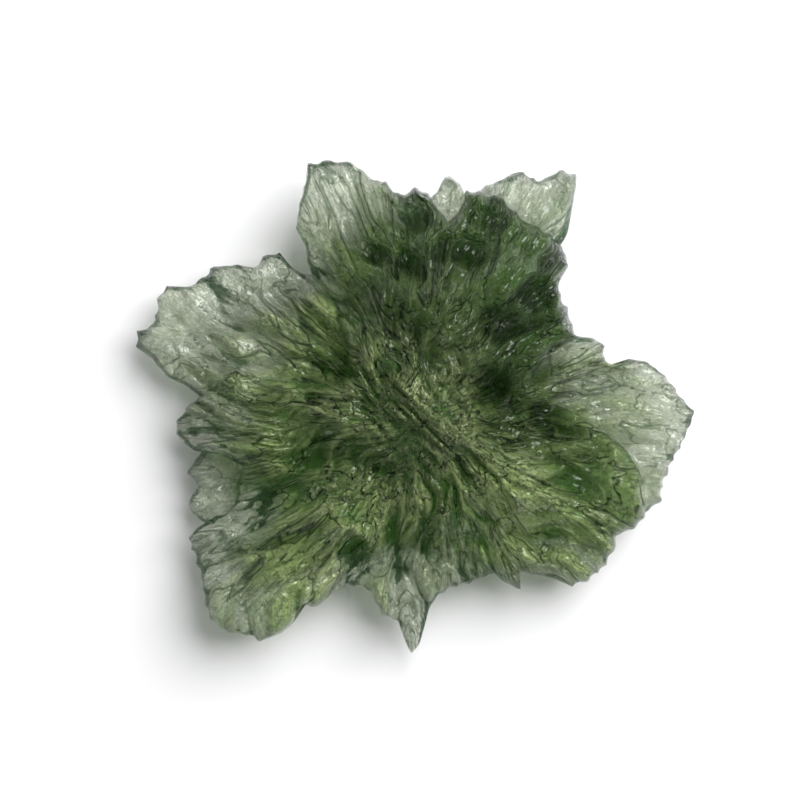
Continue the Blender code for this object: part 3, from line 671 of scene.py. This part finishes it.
def shade_rest_spot_flat(mesh):
    """Level faces at the height of the table are shaded flat: middle z = 0 and normal = -Z."""
    middles = np.empty(len(mesh.polygons) * 3, np.float32)
    normals = np.empty(len(mesh.polygons) * 3, np.float32)
    mesh.polygons.foreach_get("center", middles)
    mesh.polygons.foreach_get("normal", normals)
    level = (middles[2::3] < LEVEL_HEIGHT) & (normals[2::3] < LEVEL_NORMAL)
    mesh.polygons.foreach_set("use_smooth", ~level)
    print("level faces of the rest spot:", int(level.sum()))


apply_booleans(stone, [(flaps, "UNION"), (floor_block(), "DIFFERENCE")])
keep_outer_shell(stone.data)
stone.data.shade_smooth()
stone.data.set_sharp_from_angle(angle=SHARP_ANGLE)
shade_rest_spot_flat(stone.data)
stone.data.calc_loop_triangles()
print("stone:", len(stone.data.polygons), "faces,", len(stone.data.loop_triangles), "triangles")

# %% [markdown]
# The skin isn't the same all over. On the real stone the crests are worn pale and matte, the furrows stay
# dark, and thin flaps are clearer than the thick body. Some parts of the skin are worn more than others: the
# top lobe is still glossy and dark, and the lower left is frosted. Three numbers are stored at every point
# for the glass to read: how far the point stands out as a crest, how thick the glass is under it, and how
# worn the skin is. The crest number also carries painted shade. It is low in furrows, grooves and bowls and
# along the rims, so the glass colour is darker there, and high on crests, so they are painted paler.

# %% Crest, depth and wear of every point
CREST_GAIN = 1.2
CREST_MIDDLE = 0.62
WORN_LIFT = 0.34
# Shares of the lines and of the bowls that are painted into the colour as light and shade: grooves and bowls
# darker, crests paler.
LINE_SHARE = 0.9
LINE_NARROW = 0.35
UPPER_BOWL_SHADE = 0.8
LOWER_BOWL_SHADE = 0.1
# Painted shade along the outlines: how much darker the colour gets at the rim, and the width of that dark
# band in mm.
RIM_PAINTED_SHADE = 1.0
RIM_SHADE_WIDTH = 0.28
THICK_FROM = 1.6
THICK_TO = 3.8


def skin_values(x, y, z):
    """Crest and depth from 0 to 1, taken from the layer whose top is nearer to the point. The crest carries
    painted shade: low in furrows, grooves, bowls and at the rim, high on crests.
    """
    values = []
    layers = ((UPPER_RIM, UPPER_HEIGHTS, UPPER_LINES, UPPER_BOWLS, UPPER_BOWL_SHADE, UPPER_SEED),
              (LOWER_RIM, LOWER_HEIGHTS, LOWER_LINES, LOWER_BOWLS, LOWER_BOWL_SHADE, LOWER_SEED))
    for rim, heights, lines, bowls, bowl_share, seed in layers:
        top, under = layer_surfaces(x, y, heights, lines, bowls, seed)
        # The relief sets painted light in the colour: furrows, grooves and bowls come out lower and darker
        # as painted shade, crests higher and paler.
        relief = fluting(x, y, seed)[1] + LINE_SHARE * line_relief(x, y, lines, LINE_NARROW)
        relief += bowl_share * bowl_relief(x, y, bowls)
        # Painted shade: the value drops near the outline, so each rim gets a dark band in the glass colour.
        relief -= RIM_PAINTED_SHADE * np.exp(-(rim_distance(x, y, np.vstack([rim, rim[:1]])) / RIM_SHADE_WIDTH) ** 2)
        values.append((top, top - under, relief))
    nearer = np.abs(values[0][0] - z) < np.abs(values[1][0] - z)
    thickness = np.where(nearer, values[0][1], values[1][1])
    relief = np.where(nearer, values[0][2], values[1][2])
    crest = np.clip(CREST_MIDDLE + WORN_LIFT * worn_share(x, y) + CREST_GAIN * relief, 0.0, 1.0)
    depth = np.clip((thickness - THICK_FROM) / (THICK_TO - THICK_FROM), 0.0, 1.0)
    return crest, depth


def store_value(mesh, name, values):
    """Keep one number for each vertex under a name that the material reads."""
    attribute = mesh.attributes.new(name, "FLOAT", "POINT")
    attribute.data.foreach_set("value", values.astype(np.float32))


points = np.empty(len(stone.data.vertices) * 3, np.float32)
stone.data.vertices.foreach_get("co", points)
points = points.reshape(-1, 3).astype(float) / MM
crest, depth = skin_values(points[:, 0], points[:, 1], points[:, 2])
store_value(stone.data, "crest", crest)
store_value(stone.data, "depth", depth)
store_value(stone.data, "worn", worn_share(points[:, 0], points[:, 1]))
print("crest mean", round(float(crest.mean()), 2), "spread", round(float(crest.std()), 2),
      "depth mean", round(float(depth.mean()), 2))

# %% [markdown]
# The glass is clear and green all through, so thin flaps are nearly colourless and the thick middle is dark
# bottle green: the colour grows with the depth of glass that the light has crossed. Soil acid has etched the
# skin. Thin grooves run away from the hub and carry painted shade, and the skin beside them stands up as
# pale crests, which are worn skin and painted highlight. Where the stone is worn, a small part of the light
# comes back from the frosted skin itself. The glossy top lobe has hardly any of that, and shows the deep
# green inside.

# %% Green glass
GLASS_IOR = 1.49
SPECULAR_LEVEL = 0.15
DIFFUSE_SHARE = 0.22
ABSORPTION_DENSITY = 230.0
ABSORPTION_COLOUR = (0.42, 0.68, 0.22, 1.0)
CLEAR_GLASS = (0.97, 1.0, 0.88, 1.0)
# Dark grey green painted as shade in the furrows, grooves and rims of the clear flaps.
CLEAR_PAINTED_SHADE = (0.12, 0.20, 0.12, 1.0)
# The darker greens below are painted shade in furrows, bowls and at the rims. The paler ones are painted
# light on crests, and on worn skin also the pale wear.
GLOSSY_GREEN = (0.01, 0.03, 0.006, 1.0)
GLOSSY_CREST = (0.12, 0.24, 0.06, 1.0)
FURROW_SHADE_GREEN = (0.18, 0.38, 0.09, 1.0)
WORN_AND_LIT_GREEN = (0.82, 1.0, 0.42, 1.0)
# Pale crests are worn skin and painted highlight. The dark groove colour is painted shade.
PALE_CREST_AND_HIGHLIGHT = (0.95, 1.0, 0.60, 1.0)
GROOVE_PAINTED_SHADE = (0.008, 0.016, 0.006, 1.0)
HUB_SOFTENING = 0.0032
GROOVE_HALF_WIDTH = 0.020
NOISE_MIDDLE = 0.5
CREST_AWAY = 1.7
CREST_PLACE = NOISE_MIDDLE + CREST_AWAY * GROOVE_HALF_WIDTH
WIDE_SCALE = 5.0
FINE_SCALE = 12.0
FINE_SHARE = 0.7
LINE_DETAIL = 2.5
LINE_ROUGHNESS = 0.6
LINE_BEND = 0.8
PIT_SCALE = 2600.0
PIT_SHARE = 0.3
LEVEL_PITCH = 0.6
HEIGHT_PITCH = 60.0
GLOSSY_WEAR = 0.03
WEAR_GAIN = 1.0
# Shares of painted highlight on the fine crests and of painted shade in the fine grooves.
CREST_WEAR_AND_HIGHLIGHT = 0.95
GROOVE_SHADE_SHARE = 0.95
# Share of painted shade along the wide grooves of the flaps.
CLEAR_LINE_SHADE = 0.85
CLEAR_CREST_GAIN = 5.0
GLOSSY_ROUGHNESS = 0.05
WORN_ROUGHNESS = 0.1
SKIN_DEPTH = 0.00014


def mix_colour(tree, share, first, second):
    """A colour between two, each given as a colour or a socket."""
    node = tree.nodes.new("ShaderNodeMix")
    node.data_type = "RGBA"
    tree.links.new(share, node.inputs["Factor"])
    for name, value in (("A", first), ("B", second)):
        socket = [item for item in node.inputs if item.name == name and item.type == "RGBA"][0]
        if isinstance(value, tuple):
            socket.default_value = value
        else:
            tree.links.new(value, socket)
    return [item for item in node.outputs if item.type == "RGBA"][0]


def math_node(tree, operation, *values, clamp=False):
    """A Math node with the given inputs, each a socket or a number."""
    node = tree.nodes.new("ShaderNodeMath")
    node.operation = operation
    node.use_clamp = clamp
    for socket, value in zip(node.inputs, values):
        if isinstance(value, (int, float)):
            socket.default_value = value
        else:
            tree.links.new(value, socket)
    return node.outputs[0]


def flow_vector(tree, coords):
    """Coordinates that follow the flutes: the direction from the hub, and the logarithm of the radius.

    A noise over them is a noise on a cylinder, so its shapes are long towards the hub, grow with the
    radius and have no seam. The radius is softened, so the pattern stays even over the hub. A share of
    the height is added to the logarithm, so the lines aren't smeared down steep walls.
    """
    split = tree.nodes.new("ShaderNodeSeparateXYZ")
    tree.links.new(coords.outputs["Object"], split.inputs[0])
    square = math_node(tree, "ADD", math_node(tree, "MULTIPLY", split.outputs["X"], split.outputs["X"]),
                       math_node(tree, "MULTIPLY", split.outputs["Y"], split.outputs["Y"]))
    radius = math_node(tree, "SQRT", math_node(tree, "ADD", square, HUB_SOFTENING ** 2))
    level = math_node(tree, "LOGARITHM", radius, math.e)
    join = tree.nodes.new("ShaderNodeCombineXYZ")
    tree.links.new(math_node(tree, "DIVIDE", split.outputs["X"], radius), join.inputs["X"])
    tree.links.new(math_node(tree, "DIVIDE", split.outputs["Y"], radius), join.inputs["Y"])
    tall = math_node(tree, "MULTIPLY", split.outputs["Z"], HEIGHT_PITCH)
    pitch = math_node(tree, "MULTIPLY", level, LEVEL_PITCH)
    tree.links.new(math_node(tree, "ADD", pitch, tall), join.inputs["Z"])
    return join.outputs["Vector"]


def etched_lines(tree, vector, scale):
    """A thin groove on each zero line of a noise, and a thin crest beside it.

    Each is 1 - |noise - place| / half width, never under 0.
    """
    noise = tree.nodes.new("ShaderNodeTexNoise")
    noise.inputs["Scale"].default_value = scale
    noise.inputs["Detail"].default_value = LINE_DETAIL
    noise.inputs["Roughness"].default_value = LINE_ROUGHNESS
    noise.inputs["Distortion"].default_value = LINE_BEND
    tree.links.new(vector, noise.inputs["Vector"])
    lines = []
    for place in (NOISE_MIDDLE, CREST_PLACE):
        away = math_node(tree, "ABSOLUTE", math_node(tree, "SUBTRACT", noise.outputs["Fac"], place))
        share = math_node(tree, "DIVIDE", away, GROOVE_HALF_WIDTH)
        lines.append(math_node(tree, "SUBTRACT", 1.0, share, clamp=True))
    return lines


def summed(tree, first, second, share):
    """first + share * second, no more than 1."""
    return math_node(tree, "ADD", first, math_node(tree, "MULTIPLY", second, share), clamp=True)


def glass_material():
    """Clear glass with a green absorption inside and an etched skin.

    skin = glossy green, mixed with the worn green by wear and crest, its low crest values painted shade and
    its high ones painted light, then with pale crests (worn skin and painted highlight) and grooves in
    painted shade. colour = the clear glass of thin flaps with painted shade in its furrows, grooves and
    rims, mixed with the skin by depth.
    """
    material = bpy.data.materials.new("moldavite_glass")
    material.use_nodes = True
    tree = material.node_tree
    shader = tree.nodes["Principled BSDF"]
    shader.inputs["Transmission Weight"].default_value = 1.0 - DIFFUSE_SHARE
    shader.inputs["IOR"].default_value = GLASS_IOR
    shader.inputs["Specular IOR Level"].default_value = SPECULAR_LEVEL
    coords = tree.nodes.new("ShaderNodeTexCoord")
    values = {}
    for name in ("crest", "depth", "worn"):
        node = tree.nodes.new("ShaderNodeAttribute")
        node.attribute_name = name
        values[name] = node.outputs["Fac"]
    vector = flow_vector(tree, coords)
    wide_groove, wide_crest = etched_lines(tree, vector, WIDE_SCALE)
    fine_groove, fine_crest = etched_lines(tree, vector, FINE_SCALE)
    pit_groove, pit_crest = etched_lines(tree, coords.outputs["Object"], PIT_SCALE)
    groove = summed(tree, summed(tree, wide_groove, fine_groove, FINE_SHARE), pit_groove, PIT_SHARE)
    crest = summed(tree, summed(tree, wide_crest, fine_crest, FINE_SHARE), pit_crest, PIT_SHARE)
    # Painted light on the broad relief: low crest values (furrows, bowls, rims) take the darker green as
    # painted shade, and high ones take the paler green as painted light, which on worn skin is also the pale
    # wear.
    broad = mix_colour(tree, values["crest"], FURROW_SHADE_GREEN, WORN_AND_LIT_GREEN)
    wear = math_node(tree, "MULTIPLY", values["worn"], WEAR_GAIN)
    worn = math_node(tree, "ADD", GLOSSY_WEAR, wear, clamp=True)
    glossy = mix_colour(tree, values["crest"], GLOSSY_GREEN, GLOSSY_CREST)
    skin = mix_colour(tree, worn, glossy, broad)
    # Fine etched lines: the pale crests are worn skin and painted highlight, and the grooves beside them get
    # painted shade.
    pale = math_node(tree, "MULTIPLY", crest, math_node(tree, "MULTIPLY", worn, CREST_WEAR_AND_HIGHLIGHT))
    skin = mix_colour(tree, pale, skin, PALE_CREST_AND_HIGHLIGHT)
    skin = mix_colour(tree, math_node(tree, "MULTIPLY", groove, GROOVE_SHADE_SHARE), skin, GROOVE_PAINTED_SHADE)
    # Painted shade in the clear flaps: low crest values (furrows, bowls, rims) and the wide grooves turn the
    # clear glass dark grey green.
    bright = math_node(tree, "MULTIPLY", values["crest"], CLEAR_CREST_GAIN, clamp=True)
    clear = mix_colour(tree, bright, CLEAR_PAINTED_SHADE, CLEAR_GLASS)
    clear = mix_colour(tree, math_node(tree, "MULTIPLY", wide_groove, CLEAR_LINE_SHADE), clear, CLEAR_PAINTED_SHADE)
    tree.links.new(mix_colour(tree, values["depth"], clear, skin), shader.inputs["Base Color"])
    frost = math_node(tree, "MULTIPLY", values["worn"], values["depth"])
    rough = math_node(tree, "ADD", GLOSSY_ROUGHNESS, math_node(tree, "MULTIPLY", frost, WORN_ROUGHNESS))
    tree.links.new(rough, shader.inputs["Roughness"])
    relief = math_node(tree, "SUBTRACT", crest, groove)
    bump = tree.nodes.new("ShaderNodeBump")
    bump.inputs["Strength"].default_value = 1.0
    bump.inputs["Distance"].default_value = SKIN_DEPTH
    tree.links.new(relief, bump.inputs["Height"])
    tree.links.new(bump.outputs["Normal"], shader.inputs["Normal"])
    absorb = tree.nodes.new("ShaderNodeVolumeAbsorption")
    absorb.inputs["Color"].default_value = ABSORPTION_COLOUR
    absorb.inputs["Density"].default_value = ABSORPTION_DENSITY
    output = tree.nodes["Material Output"]
    tree.links.new(absorb.outputs["Volume"], output.inputs["Volume"])
    return material


stone.data.materials.clear()
stone.data.materials.append(glass_material())
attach(stone, "root")
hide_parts("moldavite")
print("the glass absorbs", ABSORPTION_DENSITY, "per metre at most")

# %% [markdown]
# The stone lies on a plain white table. One large soft lamp stands to the upper right, as the soft shadow
# to the lower left of the stone shows, and the room fills the shadow with even light.

# %% Table, lamp and room
FLOOR_SIZE = 0.6
FLOOR_GAP = 0.00002
FLOOR_WHITE = (0.88, 0.875, 0.885, 1.0)
FLOOR_ROUGHNESS = 0.9
FLOOR_SPECULAR = 0.1
LAMP_SIZE = 0.36
LAMP_POWER = 2.15
LAMP_PLACE = (0.17, 0.15, 0.26)
ROOM_COLOUR = (0.97, 0.97, 1.0, 1.0)
ROOM_STRENGTH = 0.28


def white_floor():
    """A plain white square just under the stone."""
    half = 0.5 * FLOOR_SIZE
    corners = [(-half, -half), (half, -half), (half, half), (-half, half)]
    mesh = bpy.data.meshes.new("table")
    mesh.from_pydata([(x, y, rest_spot_z - FLOOR_GAP) for x, y in corners], [], [(0, 1, 2, 3)])
    material = bpy.data.materials.new("table_white")
    material.use_nodes = True
    shader = material.node_tree.nodes["Principled BSDF"]
    shader.inputs["Base Color"].default_value = FLOOR_WHITE
    shader.inputs["Roughness"].default_value = FLOOR_ROUGHNESS
    shader.inputs["Specular IOR Level"].default_value = FLOOR_SPECULAR
    mesh.materials.append(material)
    floor = bpy.data.objects.new("table", mesh)
    scene.collection.objects.link(floor)
    return floor


white_floor()

lamp = bpy.data.lights.new("soft_lamp", "AREA")
lamp.shape = "DISK"
lamp.size = LAMP_SIZE
lamp.energy = LAMP_POWER
lamp_stand = bpy.data.objects.new("soft_lamp", lamp)
lamp_stand.location = LAMP_PLACE
lamp_stand.rotation_euler = (-lamp_stand.location).to_track_quat("-Z", "Y").to_euler()
scene.collection.objects.link(lamp_stand)

world = bpy.data.worlds.new("room")
world.use_nodes = True
world.node_tree.nodes["Background"].inputs["Color"].default_value = ROOM_COLOUR
world.node_tree.nodes["Background"].inputs["Strength"].default_value = ROOM_STRENGTH
scene.world = world
scene.view_settings.view_transform = "Standard"
print("table, one lamp and the room's light are set")

# %% [markdown]
# The camera looks straight down, as in the photograph. A long lens keeps the lobes from spreading.

# %% Camera
VIEW_WIDTH = 0.050
LENS = 150.0
SENSOR = 36.0
VIEW_CENTRE = (-0.0015, 0.0015)
FOCUS_HEIGHT = 0.004
CLIP_START = 0.01
camera_data = bpy.data.cameras.new("camera")
camera_data.lens = LENS
camera_data.sensor_width = SENSOR
camera_data.clip_start = CLIP_START
camera = bpy.data.objects.new("camera", camera_data)
camera.location = (VIEW_CENTRE[0], VIEW_CENTRE[1], VIEW_WIDTH * LENS / SENSOR + FOCUS_HEIGHT)
scene.collection.objects.link(camera)
scene.camera = camera
print("camera stands", round(camera.location.z / MM), "mm above the table")
